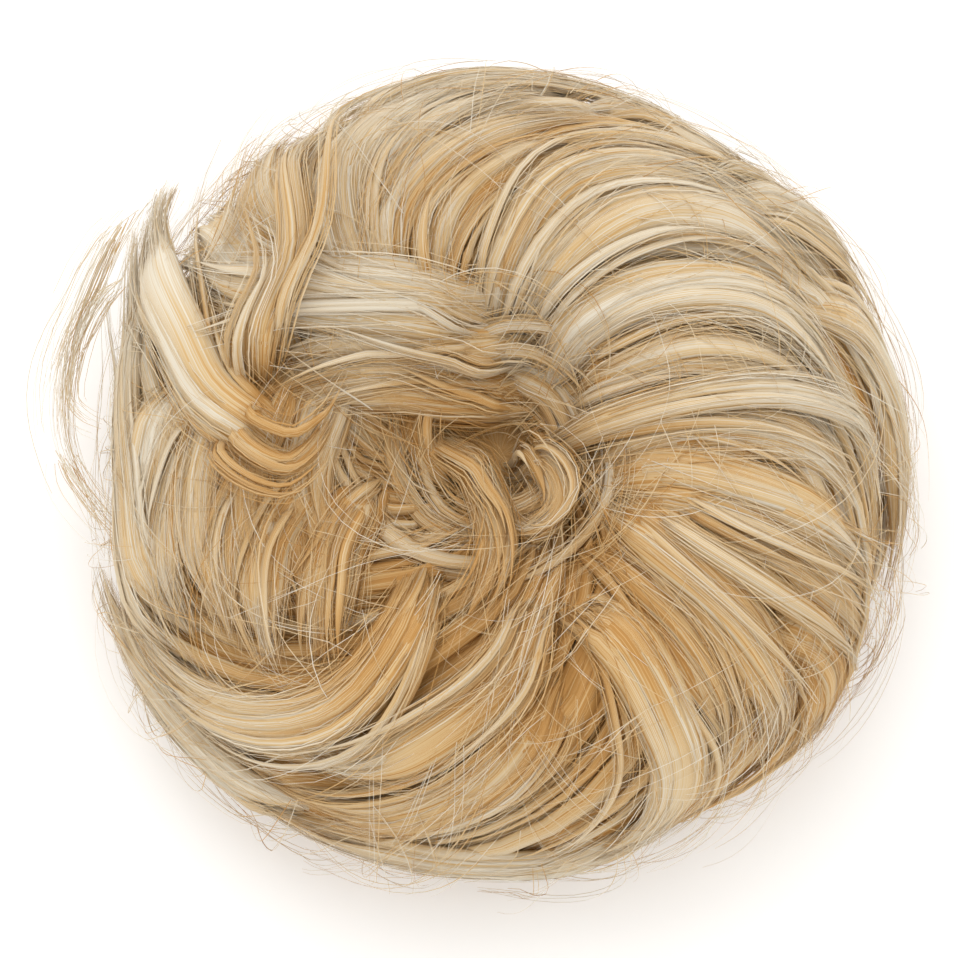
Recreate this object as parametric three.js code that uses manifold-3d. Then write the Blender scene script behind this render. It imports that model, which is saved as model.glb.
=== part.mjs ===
// Top knot hairpiece: curled locks of false hair over a gathered ring of hair, with an elastic band inside.
// Millimetres, +Z up. The hairpiece lies on its flat back with its crown up.

import * as THREE from "three";
import Module from "manifold-3d";

const manifold = await Module();
manifold.setup();

// Ring of gathered hair
const BUN_RADIUS = 68; // from the middle to the rim, under the locks
const CREST_HEIGHT = 50; // highest part of the ring over its flat back
const CREST_RADIUS = 37; // circle that the crest runs on
const DISH_HEIGHT = 33; // the dished middle of the crown over the flat back
const RIM_HEIGHT = 17; // height at which the ring is widest
const RIM_UNDERCUT = 12; // how far the flat back stays inside the rim
const RIB_COUNT = 9; // ribs of gathered hair, which turn as they run outwards
const RIB_HEIGHT = 1.8;
const RIB_TWIST = 1.1; // radians that a rib turns through from the middle to the crest

// Elastic band, and the hollow that it lines
const ELASTIC_RADIUS = 16; // to the middle of its cord
const ELASTIC_THICKNESS = 4.2;
const ELASTIC_HEIGHT = 9; // middle of the cord over the flat back
const ELASTIC_SHOWS = 1.5; // how far the cord stands out of the wall of the hollow
const HOLLOW_DEPTH = 25;
const HOLLOW_ROUND = 7; // height of the rounded top of the hollow

// Locks
const LOCK_WIDTH = 9.5;
const LOCK_THICKNESS = 5.6;
const ROOT_SINK = 2; // depth at which a lock starts inside the ring
const ROOT_WIDTH = 0.7; // share of a lock's width at its root
const TIP_WIDTH = 0.3; // share of a lock's width at its tip
const ROOT_END = 0.22; // share of its length over which a lock widens and rises
const TIP_START = 0.65; // share of its length from which it narrows to the tip

const GAP = 0.3; // between two pieces
const SMOOTHING = 0.12; // shortest edge kept after a cut

const RING_STEPS = 36;
const RING_ROWS = 9;
const GROOVE_STEPS = 5;
const HOLLOW_STEPS = 3;
const CORD_STEPS = 6;
const LOCK_STEPS = 7;

const TAU = 2 * Math.PI;
const QUARTER = Math.PI / 2;

// Outline and height of the ring, at even steps anticlockwise from +X, as shares of its radius and of its
// crest height.
const RING_SHAPE = [
  { outline: 0.99, height: 1.0 },
  { outline: 0.99, height: 1.0 },
  { outline: 0.97, height: 1.0 },
  { outline: 0.99, height: 1.0 },
  { outline: 0.98, height: 0.97 },
  { outline: 0.96, height: 0.93 },
  { outline: 0.93, height: 0.89 },
  { outline: 1.02, height: 0.89 },
  { outline: 1.03, height: 0.91 },
  { outline: 1.0, height: 0.94 },
  { outline: 1.0, height: 0.97 },
  { outline: 1.0, height: 1.0 },
];

// Section of a lock, from its side over the parting on its crown: turn in degrees and share of the half
// sizes.
const LOCK_SECTION = [
  { turn: 0, size: 1 },
  { turn: 50, size: 1.02 },
  { turn: 90, size: 0.84 },
  { turn: 118, size: 1.04 },
  { turn: 150, size: 1 },
  { turn: 182, size: 1 },
  { turn: 270, size: 0.9 },
];

const HAIR_TONES = {
  pale: 0xe6d8b6,
  honey: 0xd6b479,
  gold: 0xc39a58,
  taupe: 0xad9670,
};

const HAIR_ROUGHNESS = 0.5;
const ELASTIC_ROUGHNESS = 0.8;

// Locks from the lowest to the topmost. Each way over the ring is a row of turns in degrees, anticlockwise
// from +X, and reaches: 0 in the middle, 1 on the crest and 2 on the rim. Widths are shares of a lock's
// width. Lift and tip are how far its middle and its tip stand over the ring, as shares of its thickness.
const LOCKS = [
  { name: "left_loop", tone: "pale", width: 0.35, lift: 2.4, tip: 0,
    way: [[148, 1.8], [158, 1.95], [170, 2], [182, 2], [193, 2], [204, 2.1]] },
  { name: "bottom_rim_1", tone: "honey", width: 0.8, lift: 0, tip: 0.1,
    way: [[291, 1.9], [278, 1.95], [264, 1.9], [251, 1.85], [237, 1.9]] },
  { name: "bottom_rim_2", tone: "pale", width: 0.9, lift: 0.1, tip: 0.9,
    way: [[241, 1.85], [228, 1.85], [215, 1.9], [202, 1.95], [192, 1.95]] },
  { name: "low_rim_1", tone: "gold", width: 1.15, lift: 0.1, tip: 0.2,
    way: [[325, 1.3], [327, 1.55], [323, 1.8], [313, 2.05]] },
  { name: "right_rim_2", tone: "taupe", width: 1, lift: 0.1, tip: 0.2,
    way: [[27, 1.4], [19, 1.65], [8, 1.8], [356, 1.85], [342, 2]] },
  { name: "right_rim_1", tone: "gold", width: 1.05, lift: 0.3, tip: 0.2,
    way: [[48, 1.5], [40, 1.65], [33, 1.85], [23, 1.9]] },
  { name: "top_rim_2", tone: "honey", width: 0.8, lift: 0.1, tip: 0.1,
    way: [[77, 1.75], [66, 1.8], [55, 1.75], [43, 1.7]] },
  { name: "top_rim_1", tone: "pale", width: 0.7, lift: 0.3, tip: 0.5,
    way: [[122, 1.35], [107, 1.65], [91, 1.8], [76, 1.85], [61, 1.85]] },
  { name: "back_fan_1", tone: "honey", width: 1.3, lift: 0.1, tip: 0.2,
    way: [[151, 1.1], [146, 1.35], [142, 1.55], [140, 1.85]] },
  { name: "back_fan_2", tone: "gold", width: 1.15, lift: 0.2, tip: 0.4,
    way: [[144, 1.05], [139, 1.3], [132, 1.55], [122, 1.8]] },
  { name: "back_fan_3", tone: "taupe", width: 0.95, lift: 0.1, tip: 0.2,
    way: [[140, 0.95], [133, 1.2], [125, 1.4], [114, 1.65]] },
  { name: "top_curl_4", tone: "taupe", width: 1, lift: 0.1, tip: 0,
    way: [[117, 0.6], [110, 0.85], [99, 1.05], [83, 1.2], [65, 1.4]] },
  { name: "top_curl_3", tone: "gold", width: 0.85, lift: 0.2, tip: 0.1,
    way: [[126, 0.75], [119, 1], [108, 1.15], [92, 1.3], [70, 1.55]] },
  { name: "top_curl_2", tone: "honey", width: 0.75, lift: 0.2, tip: 0.2,
    way: [[131, 0.8], [123, 1.05], [113, 1.25], [98, 1.45], [80, 1.65]] },
  { name: "top_curl_1", tone: "pale", width: 1, lift: 0.4, tip: 0.4,
    way: [[137, 0.8], [128, 1.1], [118, 1.35], [105, 1.5], [92, 1.65]] },
  { name: "right_curl_8", tone: "gold", width: 1.1, lift: 0.1, tip: 0.1,
    way: [[328, 0.6], [334, 0.9], [336, 1.2], [335, 1.5], [333, 2]] },
  { name: "right_curl_7", tone: "honey", width: 1.05, lift: 0.2, tip: 0.1,
    way: [[338, 0.45], [346, 0.8], [346, 1.1], [344, 1.4], [339, 1.8]] },
  { name: "right_curl_6", tone: "gold", width: 1.05, lift: 0.2, tip: 0.1,
    way: [[352, 0.4], [1, 0.75], [0, 1.1], [355, 1.35], [346, 1.6]] },
  { name: "right_curl_5", tone: "pale", width: 0.55, lift: 0.9, tip: 0.3,
    way: [[4, 0.15], [7, 0.55], [7, 1], [5, 1.25], [0, 1.5], [349, 1.65]] },
  { name: "right_curl_4", tone: "honey", width: 1.1, lift: 0.2, tip: 0.1,
    way: [[36, 0.4], [26, 0.65], [19, 0.95], [10, 1.2], [359, 1.4]] },
  { name: "right_curl_3", tone: "pale", width: 1.1, lift: 0.4, tip: 0.1,
    way: [[60, 0.35], [54, 0.65], [41, 0.95], [28, 1.2], [16, 1.35], [3, 1.5]] },
  { name: "right_curl_2", tone: "pale", width: 1.05, lift: 0.4, tip: 0.2,
    way: [[80, 0.5], [72, 0.8], [59, 1.1], [46, 1.3], [34, 1.4], [22, 1.5]] },
  { name: "right_curl_1", tone: "honey", width: 1, lift: 0.2, tip: 0.1,
    way: [[95, 0.5], [88, 0.8], [77, 1.1], [63, 1.3], [48, 1.45], [35, 1.55]] },
  { name: "bottom_sweep_2", tone: "taupe", width: 1.1, lift: 0.1, tip: 0.1,
    way: [[284, 1.1], [275, 1.3], [264, 1.5], [251, 1.65], [236, 1.7]] },
  { name: "bottom_sweep_1", tone: "pale", width: 1, lift: 0.3, tip: 0.1,
    way: [[284, 0.75], [273, 1.05], [260, 1.25], [247, 1.45], [235, 1.5]] },
  { name: "low_curl_3", tone: "pale", width: 1.15, lift: 0.4, tip: 0.3,
    way: [[293, 0.85], [300, 1.05], [300, 1.3], [298, 1.55], [291, 1.75], [281, 1.9]] },
  { name: "low_curl_2", tone: "taupe", width: 1.1, lift: 0.1, tip: 0,
    way: [[310, 0.65], [312, 1], [311, 1.2], [308, 1.45], [302, 1.7]] },
  { name: "low_curl_1", tone: "honey", width: 1.2, lift: 0.4, tip: 0.2,
    way: [[331, 0.55], [324, 0.9], [321, 1.2], [318, 1.4], [314, 1.65], [307, 1.8]] },
  { name: "slim_lock", tone: "pale", width: 0.45, lift: 0.8, tip: 0.3,
    way: [[333, 0.7], [328, 1], [328, 1.25], [329, 1.5], [330, 1.95]] },
  { name: "left_fall_4", tone: "pale", width: 0.95, lift: 0.1, tip: 0.1,
    way: [[176, 1.35], [188, 1.45], [200, 1.5], [212, 1.5]] },
  { name: "left_fall_3", tone: "honey", width: 1, lift: 0.1, tip: 0,
    way: [[184, 1.05], [196, 1.2], [208, 1.3], [219, 1.4]] },
  { name: "left_fall_2", tone: "pale", width: 1, lift: 0.2, tip: 0,
    way: [[192, 0.85], [203, 1.05], [215, 1.2], [226, 1.35]] },
  { name: "left_fall_1", tone: "gold", width: 1.1, lift: 0.1, tip: 0,
    way: [[200, 0.6], [213, 0.85], [224, 1.05], [233, 1.25]] },
  { name: "under_sweep", tone: "honey", width: 1, lift: 0.6, tip: 0,
    way: [[241, 0.65], [246, 1], [240, 1.3], [228, 1.5], [214, 1.65], [199, 1.85]] },
  { name: "centre_strand", tone: "honey", width: 0.75, lift: 0.5, tip: 0.2,
    way: [[166, 0.3], [237, 0.2], [267, 0.45], [265, 0.7], [258, 0.95]] },
  { name: "ring_curl", tone: "pale", width: 0.5, lift: 0.7, tip: 0.4,
    way: [[300, 0.1], [333, 0.25], [312, 0.45], [287, 0.5], [272, 0.35]] },
  { name: "crossing_lock_3", tone: "gold", width: 1.1, lift: 0.3, tip: 0,
    way: [[58, 0.25], [133, 0.35], [159, 0.7], [173, 1.05]] },
  { name: "crossing_lock_2", tone: "honey", width: 1.05, lift: 0.4, tip: 0,
    way: [[76, 0.45], [126, 0.55], [151, 0.85], [163, 1.1]] },
  { name: "crossing_lock_1", tone: "pale", width: 1.2, lift: 0.7, tip: 0.4,
    way: [[88, 0.55], [125, 0.75], [144, 1.05], [150, 1.3], [149, 1.6]] },
  { name: "standing_lock_2", tone: "pale", width: 0.9, lift: 0.5, tip: 1.9,
    way: [[211, 1.55], [195, 1.6], [176, 1.7], [156, 1.85], [145, 1.9]] },
  { name: "standing_lock_1", tone: "pale", width: 1.15, lift: 0.8, tip: 1.8,
    way: [[192, 0.9], [174, 1.2], [161, 1.4], [148, 1.8], [140, 1.85]] },
  { name: "hook_curl", tone: "gold", width: 0.4, lift: 1.1, tip: 0.5,
    way: [[172, 1.14], [180, 1.12], [186, 1.05], [190, 0.96], [186, 0.87], [177, 0.8], [166, 0.76]] },
  { name: "upright_strand", tone: "honey", width: 0.6, lift: 1.5, tip: 0.4,
    way: [[171, 1.1], [154, 1.1], [137, 1.15], [126, 1.4], [118, 1.6]] },
];

const hollowRadius = ELASTIC_RADIUS - ELASTIC_THICKNESS / 2 + ELASTIC_SHOWS;

// The point that lies past the end of a line by a distance, away from the neighbour of that end.
function beyond(end, neighbour, distance) {
  return end.clone().addScaledVector(end.clone().sub(neighbour).normalize(), distance);
}

function point(radius, turn, height) {
  return new THREE.Vector3(radius * Math.cos(turn), radius * Math.sin(turn), height);
}

// Reads one column of the ring's table at any turn, with a soft change from row to row.
function shapeAt(column, turn) {
  const place = (((turn / TAU) % 1) + 1) * RING_SHAPE.length;
  const row = Math.floor(place);
  const soft = (1 - Math.cos(Math.PI * (place - row))) / 2;
  const here = RING_SHAPE[row % RING_SHAPE.length][column];
  const next = RING_SHAPE[(row + 1) % RING_SHAPE.length][column];
  return THREE.MathUtils.lerp(here, next, soft);
}

// The rounded shape that the locks lie on. The reach is 0 in the middle of the crown, 1 on the crest,
// 2 on the rim and 3 at the edge of the flat back. Each part between is a quarter of an ellipse or wave.
function coverPoint(turn, reach) {
  const rim = BUN_RADIUS * shapeAt("outline", turn);
  const crest = CREST_HEIGHT * shapeAt("height", turn);
  if (reach < 1) {
    const rise = Math.sin(QUARTER * reach) ** 2;
    return point(CREST_RADIUS * reach, turn, THREE.MathUtils.lerp(DISH_HEIGHT, crest, rise));
  }
  if (reach < 2) {
    const fall = QUARTER * (reach - 1);
    const radius = CREST_RADIUS + (rim - CREST_RADIUS) * Math.sin(fall);
    return point(radius, turn, RIM_HEIGHT + (crest - RIM_HEIGHT) * Math.cos(fall));
  }
  const tuck = QUARTER * (reach - 2);
  return point(rim - RIM_UNDERCUT * (1 - Math.cos(tuck)), turn, RIM_HEIGHT * (1 - Math.sin(tuck)));
}

function coverNormal(turn, reach) {
  const step = 0.01;
  const inner = Math.max(reach, 2 * step);
  const outwards = coverPoint(turn, inner + step).sub(coverPoint(turn, inner - step));
  const around = coverPoint(turn + step, inner).sub(coverPoint(turn - step, inner));
  return outwards.cross(around).normalize();
}

// Joins rings of points, from the first to the last, into one closed skin. A ring of one point is a tip.
function loft(rings) {
  const faces = [];
  let first = 0;
  rings.slice(1).forEach((ring, index) => {
    const before = rings[index];
    const second = first + before.length;
    const count = Math.max(before.length, ring.length);
    for (let k = 0; k < count; k++) {
      const next = (k + 1) % count;
      if (ring.length > 1) {
        faces.push(first + (k % before.length), second + k, second + next);
      }
      if (before.length > 1) {
        faces.push(first + k, second + (next % ring.length), first + next);
      }
    }
    first = second;
  });
  const skin = new THREE.BufferGeometry().setFromPoints(rings.flat());
  skin.setIndex(faces);
  return skin;
}

function toSolid(skin) {
  const mesh = new manifold.Mesh({
    numProp: 3,
    vertProperties: skin.attributes.position.array,
    triVerts: new Uint32Array(skin.index.array),
  });
  return new manifold.Manifold(mesh);
}

function toGeometry(solid) {
  const mesh = solid.getMesh();
  const geometry = new THREE.BufferGeometry();
  geometry.setAttribute("position", new THREE.BufferAttribute(mesh.vertProperties, 3));
  geometry.setIndex(new THREE.BufferAttribute(mesh.triVerts, 1));
  const faceted = geometry.toNonIndexed();
  faceted.computeVertexNormals();
  return faceted;
}

function ringOfPoints(place) {
  return Array.from({ length: RING_STEPS }, (_, k) => place((TAU * k) / RING_STEPS));
}

// The outer skin of the ring in rows from the crown to the flat back, with its ribs, moved out by a distance.
function ringRows(distance) {
  const rows = [[new THREE.Vector3(0, 0, DISH_HEIGHT + distance)]];
  for (let row = 1; row <= RING_ROWS; row++) {
    const reach = (3 * row) / RING_ROWS;
    const fade = Math.sin((Math.PI * row) / RING_ROWS);
    rows.push(
      ringOfPoints((turn) => {
        const rib = RIB_HEIGHT * fade * Math.cos(RIB_COUNT * (turn + RIB_TWIST * reach));
        return coverPoint(turn, reach).addScaledVector(coverNormal(turn, reach), rib + distance);
      }),
    );
  }
  return rows;
}

// Wall of the hollow from the flat back up: the groove of the elastic band, then the rounded top.
function hollowRows() {
  const clear = ELASTIC_THICKNESS / 2 + GAP;
  const lip = Math.acos((hollowRadius - ELASTIC_RADIUS) / clear);
  const groove = clear / Math.cos(lip / GROOVE_STEPS);
  const rows = [ringOfPoints((turn) => point(hollowRadius, turn, 0))];
  for (let k = 0; k <= GROOVE_STEPS; k++) {
    const angle = lip * ((2 * k) / GROOVE_STEPS - 1);
    const radius = Math.max(hollowRadius, ELASTIC_RADIUS + groove * Math.cos(angle));
    const height = ELASTIC_HEIGHT + groove * Math.sin(angle);
    rows.push(ringOfPoints((turn) => point(radius, turn, height)));
  }
  for (let k = 0; k < HOLLOW_STEPS; k++) {
    const angle = (QUARTER * k) / HOLLOW_STEPS;
    const height = HOLLOW_DEPTH - HOLLOW_ROUND * (1 - Math.sin(angle));
    rows.push(ringOfPoints((turn) => point(hollowRadius * Math.cos(angle), turn, height)));
  }
  rows.push([new THREE.Vector3(0, 0, HOLLOW_DEPTH)]);
  return rows;
}

function hairRing() {
  return loft([...ringRows(0), ...hollowRows()]);
}

// The ring with its gap, without the hollow: what the locks are cut clear of.
function ringClearance() {
  return toSolid(loft([...ringRows(GAP), [new THREE.Vector3(0, 0, -GAP)]]));
}

function elasticBand() {
  const cord = [];
  for (let k = 0; k <= CORD_STEPS; k++) {
    const angle = (TAU * k) / CORD_STEPS;
    const half = ELASTIC_THICKNESS / 2;
    cord.push(new THREE.Vector2(ELASTIC_RADIUS + half * Math.cos(angle), half * Math.sin(angle)));
  }
  return new THREE.LatheGeometry(cord, RING_STEPS).rotateX(QUARTER);
}

// Height of a lock's middle line over the ring at a share of its length.
function lockLift(lock, share) {
  const risen = THREE.MathUtils.smoothstep(share, 0, ROOT_END);
  const tipped = THREE.MathUtils.smoothstep(share, TIP_START, 1);
  const middle = THREE.MathUtils.lerp(lock.lift, lock.tip, tipped) * LOCK_THICKNESS;
  return THREE.MathUtils.lerp(-ROOT_SINK, middle, risen);
}

function lockTaper(share) {
  const widened = Math.sin(QUARTER * Math.min(1, share / ROOT_END));
  const narrowed = Math.cos(QUARTER * Math.max(0, (share - TIP_START) / (1 - TIP_START)));
  return THREE.MathUtils.lerp(ROOT_WIDTH, 1, widened) * THREE.MathUtils.lerp(TIP_WIDTH, 1, narrowed);
}

// Places along the middle line of a lock, each with the way that is up from the ring there.
function lockStations(lock) {
  const plan = lock.way.map(([turn, reach]) => {
    const angle = THREE.MathUtils.degToRad(turn);
    return new THREE.Vector2(reach * Math.cos(angle), reach * Math.sin(angle));
  });
  const way = new THREE.SplineCurve(plan);
  return Array.from({ length: LOCK_STEPS + 1 }, (_, k) => {
    const share = k / LOCK_STEPS;
    const place = way.getPoint(share);
    const up = coverNormal(place.angle(), place.length());
    const middle = coverPoint(place.angle(), place.length()).addScaledVector(up, lockLift(lock, share));
    return { middle, up, taper: lockTaper(share) };
  });
}

// One lock along its way over the ring, with its skin moved out by a distance.
function lockShape(lock, distance) {
  const stations = lockStations(lock);
  const rings = stations.map(({ middle, up, taper }, k) => {
    const before = stations[Math.max(0, k - 1)].middle;
    const after = stations[Math.min(LOCK_STEPS, k + 1)].middle;
    const along = after.clone().sub(before).normalize();
    const side = along.clone().cross(up).normalize();
    const crown = side.clone().cross(along);
    const halfWidth = (LOCK_WIDTH * lock.width * taper) / 2 + distance;
    const halfThickness = (LOCK_THICKNESS * Math.sqrt(lock.width) * taper) / 2 + distance;
    return LOCK_SECTION.map(({ turn, size }) => {
      const angle = THREE.MathUtils.degToRad(turn);
      return middle
        .clone()
        .addScaledVector(side, halfWidth * size * Math.cos(angle))
        .addScaledVector(crown, halfThickness * size * Math.sin(angle));
    });
  });
  const [root, second] = stations;
  const [nextToLast, end] = stations.slice(-2);
  const first = beyond(root.middle, second.middle, distance);
  const last = beyond(end.middle, nextToLast.middle, LOCK_THICKNESS * TIP_WIDTH + distance);
  return toSolid(loft([[first], ...rings, [last]]));
}

// The largest body of a solid: a lock that passes under another one keeps its longest visible run.
function largestBody(solid) {
  return solid.decompose().reduce((best, body) => (body.volume() > best.volume() ? body : best));
}

function piece(name, geometry, color, roughness) {
  const material = new THREE.MeshStandardMaterial({ color, roughness, metalness: 0, flatShading: true });
  const mesh = new THREE.Mesh(geometry, material);
  mesh.name = name;
  return mesh;
}

// Cuts each lock clear of the ring and of the locks that lie over it, from the topmost lock down.
function lockPieces() {
  const pieces = [];
  let taken = ringClearance();
  for (const lock of [...LOCKS].reverse()) {
    const visible = largestBody(lockShape(lock, 0).subtract(taken)).simplify(SMOOTHING);
    pieces.unshift(piece(lock.name, toGeometry(visible), HAIR_TONES[lock.tone], HAIR_ROUGHNESS));
    taken = taken.add(lockShape(lock, GAP));
  }
  return pieces;
}

function hairpiece() {
  const group = new THREE.Group();
  const band = piece("elastic_band", elasticBand(), HAIR_TONES.honey, ELASTIC_ROUGHNESS);
  band.position.z = ELASTIC_HEIGHT;
  const ring = piece("hair_ring", hairRing(), HAIR_TONES.gold, HAIR_ROUGHNESS);
  group.add(band, ring, ...lockPieces());
  const box = new THREE.Box3().setFromObject(group, true);
  const middle = box.getCenter(new THREE.Vector3());
  group.position.set(-middle.x, -middle.y, -box.min.z);
  return group;
}

export default hairpiece();
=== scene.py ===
"""Top knot hairpiece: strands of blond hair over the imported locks, the gathered ring and the elastic band."""

import math
import random

import bpy
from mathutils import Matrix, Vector


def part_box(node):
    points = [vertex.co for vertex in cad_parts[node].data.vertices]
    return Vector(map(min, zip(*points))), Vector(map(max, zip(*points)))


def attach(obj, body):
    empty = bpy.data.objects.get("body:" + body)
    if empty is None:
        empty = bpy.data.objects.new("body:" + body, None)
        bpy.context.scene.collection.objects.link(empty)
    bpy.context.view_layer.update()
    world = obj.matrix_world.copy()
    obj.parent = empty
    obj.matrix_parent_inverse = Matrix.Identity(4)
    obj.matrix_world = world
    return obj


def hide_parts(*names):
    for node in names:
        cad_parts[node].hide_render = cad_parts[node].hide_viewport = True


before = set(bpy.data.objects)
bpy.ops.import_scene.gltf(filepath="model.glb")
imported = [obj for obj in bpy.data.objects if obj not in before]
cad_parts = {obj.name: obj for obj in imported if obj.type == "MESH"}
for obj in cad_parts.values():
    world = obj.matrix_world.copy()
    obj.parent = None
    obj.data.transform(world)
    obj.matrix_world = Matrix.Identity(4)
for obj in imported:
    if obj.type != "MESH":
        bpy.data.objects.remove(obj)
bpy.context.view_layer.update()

MM = 0.001
TAU = 2 * math.pi
QUARTER = math.pi / 2

# Ring of gathered hair, as in the frame
BUN_RADIUS = 68 * MM
CREST_HEIGHT = 50 * MM
CREST_RADIUS = 37 * MM
DISH_HEIGHT = 33 * MM
RIM_HEIGHT = 17 * MM
RIM_UNDERCUT = 12 * MM
RIB_COUNT = 9
RIB_HEIGHT = 1.8 * MM
RIB_TWIST = 1.1
RING_MIDDLE = (Vector(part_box("elastic_band")[0]) + Vector(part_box("elastic_band")[1])) / 2
RING_FOOT = Vector((RING_MIDDLE.x, RING_MIDDLE.y, 0))

# Locks, as in the frame
LOCK_WIDTH = 9.5 * MM
LOCK_THICKNESS = 5.6 * MM
ROOT_SINK = 2 * MM
ROOT_END = 0.22
TIP_START = 0.65
ROOT_WIDTH = 0.8  # hair opens a little wider at its root and tip than the solid under it
TIP_WIDTH = 0.4
ROOT_REACH = -0.12  # hair starts this share of a lock's length before the solid's root, and dives under there
ROOT_DIVE = 12 * MM
TIP_REACH = 1.07
STANDING_TIP_REACH = 1.16
STANDING_TIP_WIDTH = 0.75
LIFTED_FREE = 0.6  # locks that lift by more than this share have hair all round

# Guides that the hair runs along, and how many there are of each kind
GUIDE_POINTS = 40
FLYAWAYS = 440
FLYAWAY_POINTS = 14
CURTAINS = 16
CURTAIN_TURN = math.radians(195)
TANGLES = 16
WEFTS = 30
BASE_GUIDES = 36
BASE_PIECES = 2
STRAY_PIECES = 3

# Elastic band and the hollow that it lines, as in the frame
ELASTIC_RADIUS = 16 * MM
ELASTIC_THICKNESS = 4.2 * MM
ELASTIC_HEIGHT = 9 * MM
HOLLOW_RADIUS = 15.4 * MM
HOLLOW_DEPTH = 25 * MM
HOLLOW_ROUND = 7 * MM
GROOVE = 2.4 * MM
GROOVE_STEPS = 8
CORD_STEPS = 240
CORD_SIDES = 14
CORD_WAVES = 40
BODY_STEPS = 144
BODY_ROWS = 48
BODY_SINK = 2.6 * MM
UNDERSIDE = 1.5 * MM

# Outline and height of the ring, at even steps anticlockwise from +X
RING_OUTLINE = [0.99, 0.99, 0.97, 0.99, 0.98, 0.96, 0.93, 1.02, 1.03, 1.0, 1.0, 1.0]
RING_CREST = [1.0, 1.0, 1.0, 1.0, 0.97, 0.93, 0.89, 0.89, 0.91, 0.94, 0.97, 1.0]

# Shade of a lock from 0, brown, to 1, platinum, and the change of it: painted shade in the dish and painted light at
# the rim
TONES = {"pale": 0.78, "honey": 0.6, "gold": 0.48, "taupe": 0.4}
DISH_PAINTED_SHADE, DISH_SPAN = 0.16, (6 * MM, 26 * MM)
RIM_PAINTED_LIGHT, RIM_SPAN = 0.2, (46 * MM, 66 * MM)

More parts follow.
